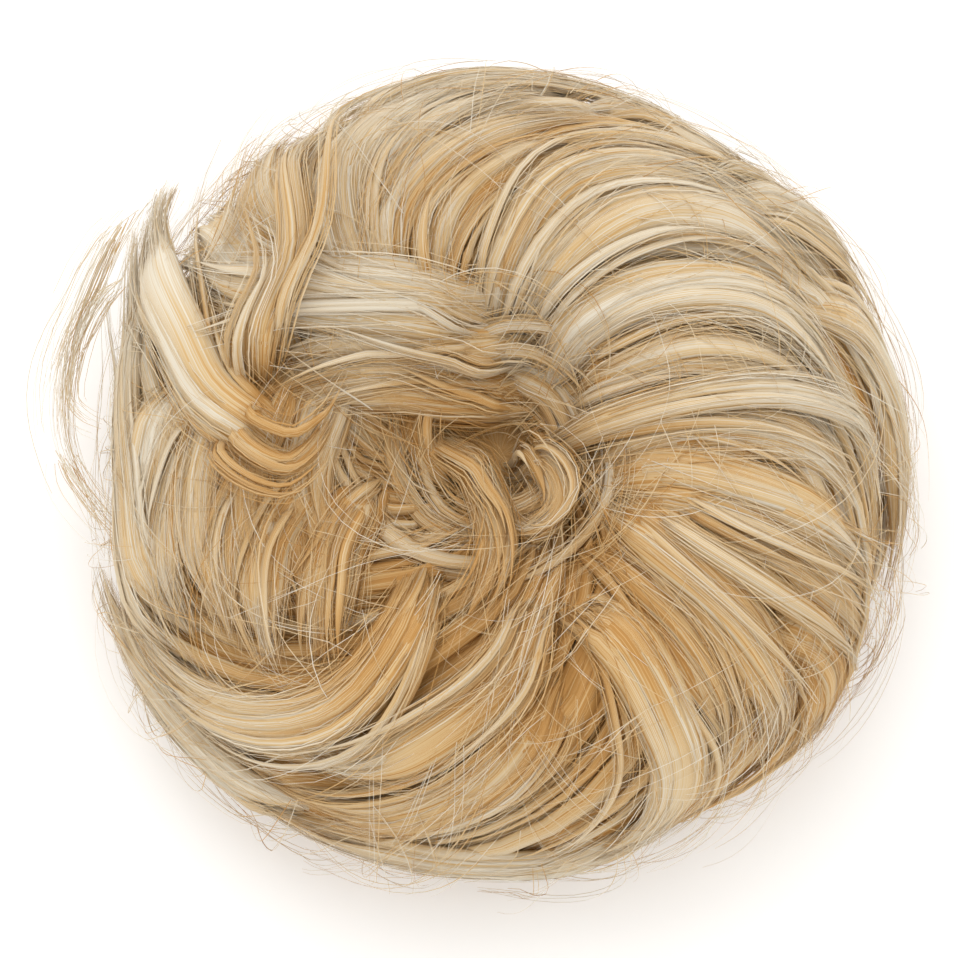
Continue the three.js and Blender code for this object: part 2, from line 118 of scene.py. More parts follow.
# name, tone, width share, lift share, tip share, way over the ring as turns in degrees and reaches
LOCKS = [
    ("left_loop", "pale", 0.35, 2.4, 0, [(148, 1.8), (158, 1.95), (170, 2), (182, 2), (193, 2), (204, 2.1)]),
    ("bottom_rim_1", "honey", 0.8, 0, 0.1, [(291, 1.9), (278, 1.95), (264, 1.9), (251, 1.85), (237, 1.9)]),
    ("bottom_rim_2", "pale", 0.9, 0.1, 0.9, [(241, 1.85), (228, 1.85), (215, 1.9), (202, 1.95), (192, 1.95)]),
    ("low_rim_1", "gold", 1.15, 0.1, 0.2, [(325, 1.3), (327, 1.55), (323, 1.8), (313, 2.05)]),
    ("right_rim_2", "taupe", 1, 0.1, 0.2, [(27, 1.4), (19, 1.65), (8, 1.8), (356, 1.85), (342, 2)]),
    ("right_rim_1", "gold", 1.05, 0.3, 0.2, [(48, 1.5), (40, 1.65), (33, 1.85), (23, 1.9)]),
    ("top_rim_2", "honey", 0.8, 0.1, 0.1, [(77, 1.75), (66, 1.8), (55, 1.75), (43, 1.7)]),
    ("top_rim_1", "pale", 0.7, 0.3, 0.5, [(122, 1.35), (107, 1.65), (91, 1.8), (76, 1.85), (61, 1.85)]),
    ("back_fan_1", "honey", 1.3, 0.1, 0.2, [(151, 1.1), (146, 1.35), (142, 1.55), (140, 1.85)]),
    ("back_fan_2", "gold", 1.15, 0.2, 0.4, [(144, 1.05), (139, 1.3), (132, 1.55), (122, 1.8)]),
    ("back_fan_3", "taupe", 0.95, 0.1, 0.2, [(140, 0.95), (133, 1.2), (125, 1.4), (114, 1.65)]),
    ("top_curl_4", "taupe", 1, 0.1, 0, [(117, 0.6), (110, 0.85), (99, 1.05), (83, 1.2), (65, 1.4)]),
    ("top_curl_3", "gold", 0.85, 0.2, 0.1, [(126, 0.75), (119, 1), (108, 1.15), (92, 1.3), (70, 1.55)]),
    ("top_curl_2", "honey", 0.75, 0.2, 0.2, [(131, 0.8), (123, 1.05), (113, 1.25), (98, 1.45), (80, 1.65)]),
    ("top_curl_1", "pale", 1, 0.4, 0.4, [(137, 0.8), (128, 1.1), (118, 1.35), (105, 1.5), (92, 1.65)]),
    ("right_curl_8", "gold", 1.1, 0.1, 0.1, [(328, 0.6), (334, 0.9), (336, 1.2), (335, 1.5), (333, 2)]),
    ("right_curl_7", "honey", 1.05, 0.2, 0.1, [(338, 0.45), (346, 0.8), (346, 1.1), (344, 1.4), (339, 1.8)]),
    ("right_curl_6", "gold", 1.05, 0.2, 0.1, [(352, 0.4), (1, 0.75), (0, 1.1), (355, 1.35), (346, 1.6)]),
    ("right_curl_5", "pale", 0.55, 0.9, 0.3,
     [(4, 0.15), (7, 0.55), (7, 1), (5, 1.25), (0, 1.5), (349, 1.65)]),
    ("right_curl_4", "honey", 1.1, 0.2, 0.1, [(36, 0.4), (26, 0.65), (19, 0.95), (10, 1.2), (359, 1.4)]),
    ("right_curl_3", "pale", 1.1, 0.4, 0.1,
     [(60, 0.35), (54, 0.65), (41, 0.95), (28, 1.2), (16, 1.35), (3, 1.5)]),
    ("right_curl_2", "pale", 1.05, 0.4, 0.2,
     [(80, 0.5), (72, 0.8), (59, 1.1), (46, 1.3), (34, 1.4), (22, 1.5)]),
    ("right_curl_1", "honey", 1, 0.2, 0.1,
     [(95, 0.5), (88, 0.8), (77, 1.1), (63, 1.3), (48, 1.45), (35, 1.55)]),
    ("bottom_sweep_2", "taupe", 1.1, 0.1, 0.1, [(284, 1.1), (275, 1.3), (264, 1.5), (251, 1.65), (236, 1.7)]),
    ("bottom_sweep_1", "pale", 1, 0.3, 0.1, [(284, 0.75), (273, 1.05), (260, 1.25), (247, 1.45), (235, 1.5)]),
    ("low_curl_3", "pale", 1.15, 0.4, 0.3,
     [(293, 0.85), (300, 1.05), (300, 1.3), (298, 1.55), (291, 1.75), (281, 1.9)]),
    ("low_curl_2", "taupe", 1.1, 0.1, 0, [(310, 0.65), (312, 1), (311, 1.2), (308, 1.45), (302, 1.7)]),
    ("low_curl_1", "honey", 1.2, 0.4, 0.2,
     [(331, 0.55), (324, 0.9), (321, 1.2), (318, 1.4), (314, 1.65), (307, 1.8)]),
    ("slim_lock", "pale", 0.45, 0.8, 0.3, [(333, 0.7), (328, 1), (328, 1.25), (329, 1.5), (330, 1.95)]),
    ("left_fall_4", "pale", 0.95, 0.1, 0.1, [(176, 1.35), (188, 1.45), (200, 1.5), (212, 1.5)]),
    ("left_fall_3", "honey", 1, 0.1, 0, [(184, 1.05), (196, 1.2), (208, 1.3), (219, 1.4)]),
    ("left_fall_2", "pale", 1, 0.2, 0, [(192, 0.85), (203, 1.05), (215, 1.2), (226, 1.35)]),
    ("left_fall_1", "gold", 1.1, 0.1, 0, [(200, 0.6), (213, 0.85), (224, 1.05), (233, 1.25)]),
    ("under_sweep", "honey", 1, 0.6, 0,
     [(241, 0.65), (246, 1), (240, 1.3), (228, 1.5), (214, 1.65), (199, 1.85)]),
    ("centre_strand", "honey", 0.75, 0.5, 0.2, [(166, 0.3), (237, 0.2), (267, 0.45), (265, 0.7), (258, 0.95)]),
    ("ring_curl", "pale", 0.5, 0.7, 0.4, [(300, 0.1), (333, 0.25), (312, 0.45), (287, 0.5), (272, 0.35)]),
    ("crossing_lock_3", "gold", 1.1, 0.3, 0, [(58, 0.25), (133, 0.35), (159, 0.7), (173, 1.05)]),
    ("crossing_lock_2", "honey", 1.05, 0.4, 0, [(76, 0.45), (126, 0.55), (151, 0.85), (163, 1.1)]),
    ("crossing_lock_1", "pale", 1.2, 0.7, 0.4, [(88, 0.55), (125, 0.75), (144, 1.05), (150, 1.3), (149, 1.6)]),
    ("standing_lock_2", "pale", 0.9, 0.5, 1.9, [(211, 1.55), (195, 1.6), (176, 1.7), (156, 1.85), (145, 1.9)]),
    ("standing_lock_1", "pale", 1.15, 0.8, 1.8, [(192, 0.9), (174, 1.2), (161, 1.4), (148, 1.8), (140, 1.85)]),
    ("hook_curl", "gold", 0.4, 1.1, 0.5,
     [(172, 1.14), (180, 1.12), (186, 1.05), (190, 0.96), (186, 0.87), (177, 0.8), (166, 0.76)]),
    ("upright_strand", "honey", 0.6, 1.5, 0.4, [(171, 1.1), (154, 1.1), (137, 1.15), (126, 1.4), (118, 1.6)]),
]


# Painted shade and painted light: where the hair is made browner, in the hollow of the hook, in crevices between the
# locks
# # and over the lower middle, and paler at the top, the upper left and the rim, there partly the hair's own paler tone:
# # x, y and radius in millimetres from the middle of the bun, and the change in shade
PAINTED_SHADE_AND_LIGHT_PLACES = [
    (-38, 7, 5, -0.6), (-15, 5, 5, -0.4), (-5, 4, 5, -0.4), (4, 3, 4, -0.3),
    (-8, 26, 5, -0.35), (-4, 42, 5, -0.35), (12, 52, 6, -0.3), (16, -17, 6, -0.4),
    (50, -35, 8, -0.45), (15, -40, 7, -0.3), (-34, -20, 6, -0.35), (-5, 64, 26, 0.32),
    (40, 48, 22, 0.3), (66, 10, 18, 0.25), (-62, 30, 20, 0.3), (0, -66, 14, 0.3),
    (-24, 17, 11, 0.34), (3, 18, 9, 0.3), (-26, -26, 8, 0.28), (44, 46, 12, 0.24),
    (48, 3, 14, 0.28), (12, -38, 22, -0.34), (-18, -38, 18, -0.38), (-36, -8, 12, -0.24),
]

# Loose wisps at the left: tone, half width, and points in millimetres from the middle of the bun
WISPS = [
    (1.05, 3 * MM,
     [(-60, 45, 34), (-66, 37, 33), (-71, 27, 30), (-76, 19, 26), (-78, 11, 22), (-77, 2, 18), (-75, -5, 15),
      (-71, -15, 10)]),
    (1.1, 2 * MM,
     [(-61, 31, 36), (-68, 27, 32), (-72, 21, 28), (-74, 12, 26), (-71, 7, 28), (-64, 3, 34), (-57, 1, 38)]),
    (0.95, 2.5 * MM, [(-76, 5, 20), (-73, -2, 22), (-68, -9, 26), (-62, -15, 30), (-57, -21, 34)]),
    (1.0, 1.5 * MM, [(-49, 27, 50), (-46, 34, 48), (-44, 42, 44), (-42, 54, 36), (-37, 63, 30)]),
    (1.0, 2 * MM,
     [(-63, 45, 30), (-67, 35, 32), (-72, 24, 28), (-74, 16, 24), (-75, 7, 20), (-72, -3, 18), (-66, -16, 20)]),
]


def shape_at(table, turn):
    """One column of the ring's shape at any turn, with a soft change from row to row."""
    place = (turn / TAU % 1) * len(table)
    row = int(place)
    soft = (1 - math.cos(math.pi * (place - row))) / 2
    return table[row % len(table)] * (1 - soft) + table[(row + 1) % len(table)] * soft


def cover_point(turn, reach):
    """The rounded shape under the locks: reach 0 in the middle, 1 on the crest, 2 on the rim, 3 at the foot."""
    rim = BUN_RADIUS * shape_at(RING_OUTLINE, turn)
    crest = CREST_HEIGHT * shape_at(RING_CREST, turn)
    if reach < 1:
        rise = math.sin(QUARTER * reach) ** 2
        radius, height = CREST_RADIUS * reach, DISH_HEIGHT + (crest - DISH_HEIGHT) * rise
    elif reach < 2:
        fall = QUARTER * (reach - 1)
        radius = CREST_RADIUS + (rim - CREST_RADIUS) * math.sin(fall)
        height = RIM_HEIGHT + (crest - RIM_HEIGHT) * math.cos(fall)
    else:
        tuck = QUARTER * (reach - 2)
        radius = rim - RIM_UNDERCUT * (1 - math.cos(tuck))
        height = RIM_HEIGHT * (1 - math.sin(tuck))
    return Vector((radius * math.cos(turn), radius * math.sin(turn), height))


def cover_normal(turn, reach):
    step = 0.01
    inner = max(reach, 2 * step)
    outwards = cover_point(turn, inner + step) - cover_point(turn, inner - step)
    around = cover_point(turn + step, inner) - cover_point(turn - step, inner)
    return outwards.cross(around).normalized()


def ring_point(turn, reach, lift=0.0):
    """A place on the gathered ring with its ribs, in the frame."""
    rib = RIB_HEIGHT * math.sin(math.pi * reach / 3) * math.cos(RIB_COUNT * (turn + RIB_TWIST * reach))
    return RING_FOOT + cover_point(turn, reach) + cover_normal(turn, reach) * (rib + lift)


def on_circle(radius, turn, height):
    """A place at a turn round the middle of the ring, in the frame."""
    return Vector((RING_MIDDLE.x + radius * math.cos(turn), RING_MIDDLE.y + radius * math.sin(turn), height))


def smoothstep(value, low, high):
    share = min(1, max(0, (value - low) / (high - low)))
    return share * share * (3 - 2 * share)


def points_near(points, share):
    """The four points round a share of the way along a run, and how far that is from the second to the third."""
    place = share * (len(points) - 1)
    row = max(0, min(int(place), len(points) - 2))
    return [points[min(max(row + k, 0), len(points) - 1)] for k in (-1, 0, 1, 2)], place - row


def along_way(way, share):
    """A place in the plan of turns and reaches, on a smooth curve through the points of a way."""
    turns = [(math.radians(turn), reach) for turn, reach in way]
    plan = [Vector((reach * math.cos(turn), reach * math.sin(turn))) for turn, reach in turns]
    (before, here, there, after), part = points_near(plan, share)
    start, end = (there - before) / 2, (after - here) / 2
    return (
        (2 * (here - there) + start + end) * part**3
        + (3 * (there - here) - 2 * start - end) * part**2
        + start * part
        + here
    )


def lock_lift(lift, tip, share):
    middle = (lift + (tip - lift) * smoothstep(share, TIP_START, 1)) * LOCK_THICKNESS
    return -ROOT_SINK + min(0, share) * ROOT_DIVE + (middle + ROOT_SINK) * smoothstep(share, 0, ROOT_END)


def lock_taper(share, tip_width):
    widened = math.sin(QUARTER * min(1, max(0, share) / ROOT_END))
    narrowed = math.cos(QUARTER * min(1, max(0, (share - TIP_START) / (1 - TIP_START))))
    return (ROOT_WIDTH + (1 - ROOT_WIDTH) * widened) * (tip_width + (1 - tip_width) * narrowed)


def tone_at(tone, place):
    """Painted shade makes hair browner in the dish and where locks part, and painted light makes it paler round the
    outside.
    """
    x, y = place.x - RING_MIDDLE.x, place.y - RING_MIDDLE.y
    tone -= DISH_PAINTED_SHADE * (1 - smoothstep(math.hypot(x, y), *DISH_SPAN))
    tone += RIM_PAINTED_LIGHT * smoothstep(math.hypot(x, y), *RIM_SPAN)
    # Painted shade and painted light at the listed places
    for across, up, radius, change in PAINTED_SHADE_AND_LIGHT_PLACES:
        tone += change * math.exp(-((x - across * MM) ** 2 + (y - up * MM) ** 2) / (radius * MM) ** 2)
    return tone


def lock_guide(way, width, lift, tip, tone, tip_reach=TIP_REACH, tip_width=TIP_WIDTH):
    """Points of a lock's middle line: place, up, half width, half thickness and tone."""
    rows = []
    for k in range(GUIDE_POINTS):
        share = ROOT_REACH + (tip_reach - ROOT_REACH) * k / (GUIDE_POINTS - 1)
        plan = along_way(way, share)
        turn, reach = math.atan2(plan.y, plan.x), plan.length
        up = cover_normal(turn, reach)
        place = RING_FOOT + cover_point(turn, reach) + up * lock_lift(lift, tip, share)
        taper = lock_taper(share, tip_width)
        rows.append((place, up, LOCK_WIDTH * width * taper / 2, LOCK_THICKNESS * math.sqrt(width) * taper / 2,
                     tone_at(tone, place)))
    return rows


def in_scene(name, data):
    """A new object in the scene."""
    made = bpy.data.objects.new(name, data)
    bpy.context.scene.collection.objects.link(made)
    return made


def hold(mesh, name, values, domain="POINT"):
    """Keeps one number for each point or corner of a mesh."""
    mesh.attributes.new(name, "FLOAT", domain).data.foreach_set("value", values)


def guide_object(name, guides):
    """A mesh of loose edges, one run for each guide, with the section of the hair at each of its points."""
    rows = [row for guide in guides for row in guide]
    edges, first = [], 0
    for guide in guides:
        edges += [(first + k, first + k + 1) for k in range(len(guide) - 1)]
        first += len(guide)
    mesh = bpy.data.meshes.new(name)
    mesh.from_pydata([row[0] for row in rows], edges, [])
    up = mesh.attributes.new("up", "FLOAT_VECTOR", "POINT")
    up.data.foreach_set("vector", [value for row in rows for value in row[1]])
    for column, label in enumerate(("half_width", "half_thick", "tone"), 2):
        hold(mesh, label, [row[column] for row in rows])
    hold(mesh, "guide", [float(index) for index, guide in enumerate(guides) for _ in guide])
    return in_scene(name, mesh)


class Tree:
    """Short calls that add nodes to a node tree and feed their sockets with values or other nodes' outputs."""

    def __init__(self, tree):
        self.tree = tree

    def add(self, kind, *feeds, **settings):
        made = self.tree.nodes.new(kind)
        for key, value in settings.items():
            setattr(made, key, value)
        for socket, value in zip([s for s in made.inputs if s.enabled], feeds):
            self.feed(socket, value)
        return made

    def feed(self, socket, value):
        if isinstance(value, bpy.types.NodeSocket):
            self.tree.links.new(value, socket)
        elif value is not None:
            socket.default_value = value

    def maths(self, operation, *feeds):
        return self.add("ShaderNodeMath", *feeds, operation=operation).outputs[0]

    def times(self, one, other):
        return self.maths("MULTIPLY", one, other)

    def minus(self, one, other):
        return self.maths("SUBTRACT", one, other)

    def vector(self, operation, *feeds):
        return self.add("ShaderNodeVectorMath", *feeds, operation=operation).outputs[0]

    def scaled(self, vector, scale):
        made = self.add("ShaderNodeVectorMath", operation="SCALE")
        self.feed(made.inputs[0], vector)
        self.feed(made.inputs["Scale"], scale)
        return made.outputs[0]

    def mixed(self, share, low, high):
        """The value between low and high at a share."""
        plain = isinstance(low, float) and isinstance(high, float)
        span = high - low if plain else self.minus(high, low)
        return self.maths("MULTIPLY_ADD", share, span, low)

    def named(self, name, kind="FLOAT"):
        node = self.add("GeometryNodeInputNamedAttribute", name, data_type=kind)
        return next(s for s in node.outputs if s.enabled)

    def held(self, name):
        """A number that the mesh holds, for a material."""
        return self.add("ShaderNodeAttribute", attribute_name=name).outputs["Fac"]

    def noise(self, place, detail):
        made = self.add("ShaderNodeTexNoise", place, noise_dimensions="3D")
        made.inputs["Scale"].default_value = 1.0
        made.inputs["Detail"].default_value = detail
        return made.outputs

    def stored(self, geometry, name, value, kind="FLOAT", domain="POINT"):
        node = self.add("GeometryNodeStoreNamedAttribute", data_type=kind, domain=domain)
        self.feed(node.inputs["Geometry"], geometry)
        self.feed(node.inputs["Name"], name)
        self.feed(next(s for s in node.inputs if s.name == "Value" and s.enabled), value)
        return node.outputs[0]


def new_material(name, roughness):
    """A material, short calls for its nodes, and its main shader."""
    material = bpy.data.materials.new(name)
    material.use_nodes = True
    bsdf = material.node_tree.nodes["Principled BSDF"]
    bsdf.inputs["Roughness"].default_value = roughness
    return material, Tree(material.node_tree), bsdf


# Colour of hair along its shade, and the streaks in it: how many round it, how many along it, detail, strength
HAIR_COLOURS = [
    (0.0, (0.44, 0.228, 0.068)),
    (0.2, (0.54, 0.33, 0.13)),
    (0.4, (0.58, 0.41, 0.208)),
    (0.6, (0.595, 0.46, 0.28)),
    (0.8, (0.61, 0.515, 0.375)),
    (1.0, (0.67, 0.615, 0.51)),
]
FINE_STREAKS = 0.95, 1.5, 2.0, 2.9
BROAD_STREAKS = 0.25, 1.2, 0.0, 0.8
PALER_TIPS = 0.08
SHADE_TO_COLOUR = 0.8
STREAK_SHIFT = 3.7  # sets the streaks of one strand apart from the next one's
HAIR_ROUGHNESS, HAIR_GLOSS = 0.5, 0.1


def blond_hair_material():
    """Hair whose shade, from brown over gold to platinum, is held by each strand."""
    material, t, bsdf = new_material("blond_hair", HAIR_ROUGHNESS)
    names = ("hair_tone", "hair_along", "hair_side", "strand", "hair_streaks")
    tone, along, across, strand, lines = (t.held(name) for name in names)

    def streaked(shade, number, length, detail, strength):
        """The shade with lines along the hair: a share of the number round it, each about one over the length."""
        place = t.add("ShaderNodeCombineXYZ", t.times(across, t.times(lines, number)),
                      t.times(along, length), t.times(strand, STREAK_SHIFT)).outputs[0]
        return t.maths("MULTIPLY_ADD", t.minus(t.noise(place, detail)["Fac"], 0.5), strength, shade)

    shade = streaked(streaked(tone, *FINE_STREAKS), *BROAD_STREAKS)
    shade = t.maths("MULTIPLY_ADD", along, PALER_TIPS, shade)
    ramp = t.add("ShaderNodeValToRGB", t.times(shade, SHADE_TO_COLOUR))
    while len(ramp.color_ramp.elements) < len(HAIR_COLOURS):
        ramp.color_ramp.elements.new(0.5)
    for element, (position, colour) in zip(ramp.color_ramp.elements, HAIR_COLOURS):
        element.position = position
        element.color = (*colour, 1)
    t.feed(bsdf.inputs["Base Color"], ramp.outputs["Color"])
    bsdf.inputs["Specular IOR Level"].default_value = HAIR_GLOSS
    return material


HAIR_INPUTS = {
    "Hairs": 140,
    "Clumps": 9,
    "Cores": 1,
    "Core Size": 1.0,
    "Bodies": 1,
    "Rings": 12,
    "Hair Width": 0.1 * MM,
    "Ribbons": 3.6,
    "Fullness": 1.2,
    "Loose": 0.9,
    "Free": 0.6,
    "Frizz": 0.4 * MM,
    "Twist": 0.8,
    "Wrap": 1.3 * math.pi,
    "Uneven Roots": 0.12,
    "Uneven Tips": 0.2,
    "Tone Spread": 0.24,
    "Seed": 1,
    "Hair Material": None,
}
SOCKETS = {int: "NodeSocketInt", float: "NodeSocketFloat", type(None): "NodeSocketMaterial"}
# Clumps in the section of their lock: pairs are the least and the most of a share
CLUMP_PLACE = 0.1, 0.9
CLUMP_REACH = 0.35, 0.85
CLUMP_GIRTH = 0.75, 1.2
CLUMP_WANDER = 0.5
CLUMP_ROOT = 4.5, 0.12  # how fast it opens from its root, and its share there
CLUMP_CLOSING, CLUMP_TIP = 2.5, 0.25
LEAN = 0.7
SOFT_BEND = 0.3
STREAK_LIGHT = 0.2
# Painted light: clumps on the top of their lock are paler, from this level of the sine upwards
TOP_LEVEL, TOP_PAINTED_LIGHT = 0.75, 0.22
PALEST_CLUMP = 1.0

# Cores fill the clumps, and one body, darkened with painted shade, fills the lock under them
CORE_RINGS = 19
CORE_SIDES = 6
CORE_BREADTH = 1.35
CORE_DEPTH = 0.5
CORE_TIP = 3.0, 0.12
CORE_START, CORE_STOP = 0.02, 0.08  # later than its clump, and sooner
# Painted shade: cores are darker than their clump, as the shaded layer under the hairs
CORE_PAINTED_SHADE = 0.06
CORE_LINES = 42.0
CORE_MAP = 0.14, 0.44, 3  # low and high edge of its band in the map, and rows of strips in it
BODY_RINGS = 26
BODY_SIDES = 16
BODY_BREADTH = 0.92
BODY_DEPTH = 0.52
BODY_START, BODY_STOP = 0.03, 0.9
BODY_ROOT = 6.0, 0.1
BODY_TIP = 3.2, 0.04
# Painted shade: the body is darker than its lock by this much
BODY_PAINTED_SHADE = 0.24
BODY_LINES = 90.0
BODY_MAP = 0.01, 0.12, 1

# Single hairs round their clump, and the free ones over the whole lock
HAIR_SIDES = 3
HAIR_WRAP = 1.6 * math.pi
HAIR_TWIST = 1.6
HAIR_DEPTH = 0.62
LOOSER = 0.5, 1.5
FRIZZIER = 0.4, 1.6
FREE_TURN = -1.2, 1.2
FREE_BREADTH, FREE_DEPTH = 1.05, 1.15
FREE_WANDER = 0.7
HAIR_SPREAD = 0.8
# Painted light: hairs are a little paler than their clump, and paler still on the top of it, from this level up
HAIR_LEVEL, HAIR_TOP_PAINTED_LIGHT, HAIR_PAINTED_LIGHT = 0.4, 0.16, 0.02
HAIR_START, HAIR_STOP = 0.06, 0.2
HAIR_THINNING = 0.5, 0.2
NARROWEST = 0.8
RIBBON_DEPTH = 0.35
RIBBON_LINES = 5.0
HAIR_MAP = 0.46, 0.99, 4
STRIP_SIDES, STRIP_ENDS = (0.08, 1.0), (0.03, 0.97)  # of each strip in the map, as shares of its place
FLOOR_CLEARANCE = 0.2 * MM


def hair_tree():
    """Hair along each guide curve: soft clumps spread over its oval section, each wrapped in fine single hairs."""
    group = bpy.data.node_groups.new("hair_along_guides", "GeometryNodeTree")
    group.interface.new_socket("Guides", in_out="INPUT", socket_type="NodeSocketGeometry")
    for name, value in HAIR_INPUTS.items():
        socket = group.interface.new_socket(name, in_out="INPUT", socket_type=SOCKETS[type(value)])
        if value is not None:
            socket.default_value = value
    group.interface.new_socket("Hair", in_out="OUTPUT", socket_type="NodeSocketGeometry")
    t = Tree(group)
    given = t.add("NodeGroupInput").outputs

    curves = t.add("GeometryNodeMeshToCurve", given["Guides"]).outputs[0]
    along = t.add("GeometryNodeSplineParameter").outputs["Factor"]
    guide, clump, strand = t.named("guide"), t.named("clump"), t.named("strand")
    half_width, half_thick = t.named("half_width"), t.named("half_thick")
    up = t.named("up", "FLOAT_VECTOR")
    side = t.vector("NORMALIZE", t.vector("CROSS_PRODUCT", t.add("GeometryNodeInputTangent").outputs[0], up))

    def drawn(number, owner):
        """A number from 0 to 1 for each strand or clump."""
        node = t.add("FunctionNodeRandomValue", data_type="FLOAT")
        t.feed(node.inputs["ID"], owner)
        t.feed(node.inputs["Seed"], t.maths("MULTIPLY_ADD", given["Seed"], 20.0, float(number)))
        return next(s for s in node.outputs if s.enabled)

    def wander(owner, waves, offset):
        """A slow wander along the hair, a vector about zero."""
        place = t.add("ShaderNodeCombineXYZ", t.times(along, waves),
                      t.times(owner, 1.37), t.maths("ADD", given["Seed"], offset)).outputs[0]
        return t.vector("SUBTRACT", t.noise(place, 1.0)["Color"], (0.5, 0.5, 0.5))

    def around(angle, breadth, depth):
        """A place round a middle line, across it and above it."""
        across = t.scaled(side, t.times(t.maths("COSINE", angle), breadth))
        return t.vector("ADD", across, t.scaled(up, t.times(t.maths("SINE", angle), depth)))

    def opening(share, slope, least):
        """Rises from its least value at share 0 to 1, with a soft bend."""
        return t.maths("SMOOTH_MIN", t.maths("MULTIPLY_ADD", share, slope, least), 1.0, SOFT_BEND)

    # Where a clump runs in the section of its lock
    own_number = t.minus(clump, t.times(guide, given["Clumps"]))
    share = t.maths("DIVIDE", t.maths("ADD", own_number, t.mixed(drawn(2, clump), *CLUMP_PLACE)), given["Clumps"])
    angle = t.maths("MULTIPLY_ADD", t.minus(share, 0.5), given["Wrap"], QUARTER)
    angle = t.maths("MULTIPLY_ADD", along, given["Twist"], angle)
    angle_in_lock = angle
    size = t.mixed(drawn(3, clump), *CLUMP_REACH)
    path = around(angle, t.times(size, half_width), t.times(size, half_thick))
    facing = t.vector("ADD", up, t.scaled(side, t.times(t.maths("COSINE", angle), LEAN)))
    path = t.vector("ADD", path, t.scaled(wander(clump, 2.0, 0.7), t.times(half_width, CLUMP_WANDER)))
    area = t.maths("DIVIDE", t.times(half_width, half_thick), given["Clumps"])
    fullness = t.times(given["Fullness"], t.mixed(drawn(5, clump), *CLUMP_GIRTH))
    girth = t.times(t.maths("SQRT", area), fullness)
    closed = t.mixed(t.maths("POWER", along, CLUMP_CLOSING), 1.0, CLUMP_TIP)
    girth = t.times(girth, t.times(opening(along, *CLUMP_ROOT), closed))

    # Where a single hair runs round its clump
    angle = t.maths("MULTIPLY_ADD", t.minus(drawn(6, strand), 0.5), HAIR_WRAP, QUARTER)
    angle = t.maths("MULTIPLY_ADD", along, t.times(given["Twist"], HAIR_TWIST), angle)
    stray = t.times(t.maths("POWER", drawn(7, strand), 3.0), t.mixed(along, *LOOSER))
    reach = t.times(girth, t.maths("MULTIPLY_ADD", stray, given["Loose"], 1.0))
    own = around(angle, t.times(reach, CORE_BREADTH), t.times(reach, HAIR_DEPTH))
    turned_out = t.vector("ADD", facing, t.scaled(side, t.maths("COSINE", angle)))
    above = t.maths("SINE", angle)
    frizz = t.times(given["Frizz"], t.mixed(t.maths("POWER", along, 2.0), *FRIZZIER))
    own = t.vector("ADD", own, t.scaled(wander(strand, 1.7, 0.2), frizz))
    hair_path = t.vector("ADD", path, own)

    # Where it would run if it were free of its clump, and how free it is
    angle = t.maths("MULTIPLY_ADD", t.minus(drawn(15, strand), 0.5), given["Wrap"], QUARTER)
    crossing = t.mixed(drawn(16, strand), *FREE_TURN)
    angle = t.maths("MULTIPLY_ADD", t.minus(along, 0.5), crossing, angle)
    over = around(angle, t.times(half_width, FREE_BREADTH), t.times(half_thick, FREE_DEPTH))
    over = t.vector("ADD", over, t.scaled(wander(strand, 1.5, 0.4), t.times(half_width, FREE_WANDER)))
    free = t.times(t.maths("POWER", drawn(17, strand), 2.0), given["Free"])
    hair_path = t.vector("ADD", t.scaled(hair_path, t.minus(1.0, free)), t.scaled(over, free))

    # Where a clump starts and ends, and its tone
    root = t.times(drawn(8, clump), given["Uneven Roots"])
    tip = t.times(t.maths("POWER", drawn(9, clump), 1.5), given["Uneven Tips"])
    tip = t.minus(1.0, tip)
    clump_tone = t.maths("MULTIPLY_ADD", t.minus(drawn(10, clump), 0.5), given["Tone Spread"],
                         t.named("tone"))
    streak = t.add("ShaderNodeSeparateXYZ", wander(clump, 3.0, 1.3)).outputs[0]
    clump_tone = t.maths("MULTIPLY_ADD", streak, STREAK_LIGHT, clump_tone)
    # Painted light: clumps on the top of their lock are made paler, capped at the palest clump
    painted_light_on_top = t.minus(t.maths("SINE", angle_in_lock), TOP_LEVEL)
    clump_tone = t.maths("MINIMUM", t.maths("MULTIPLY_ADD", painted_light_on_top, TOP_PAINTED_LIGHT, clump_tone), PALEST_CLUMP)

    def laid(kind, owner_count, offset, facing, start, end, rings, tone):
        """Copies of the guides, moved off them, cut to length, with even points that hold the tone."""
        duplicates = t.add("GeometryNodeDuplicateElements", curves, None, owner_count, domain="SPLINE")
        number = t.maths("MULTIPLY_ADD", guide, owner_count, duplicates.outputs[1])
        placed = t.stored(duplicates.outputs[0], "strand", number)
        if kind == "hair":
            index = t.maths("FLOOR", t.times(drawn(1, strand), given["Clumps"]))
            placed = t.stored(placed, "clump", t.maths("MULTIPLY_ADD", guide, given["Clumps"], index))
        else:
            placed = t.stored(placed, "clump", number)
        moved = t.add("GeometryNodeSetPosition", placed, None, None, offset).outputs[0]
        trimmed = t.add("GeometryNodeTrimCurve", moved, None, start, end).outputs[0]
        even = t.add("GeometryNodeResampleCurve", trimmed, None, rings).outputs[0]
        above = t.vector("MAXIMUM", t.add("GeometryNodeInputPosition").outputs[0], (-1.0, -1.0, FLOOR_CLEARANCE))
        even = t.add("GeometryNodeSetPosition", even, None, above).outputs[0]
        even = t.stored(even, "facing", facing, "FLOAT_VECTOR")
        even = t.stored(even, "hair_tone", tone)
        return t.stored(even, "hair_along", along)

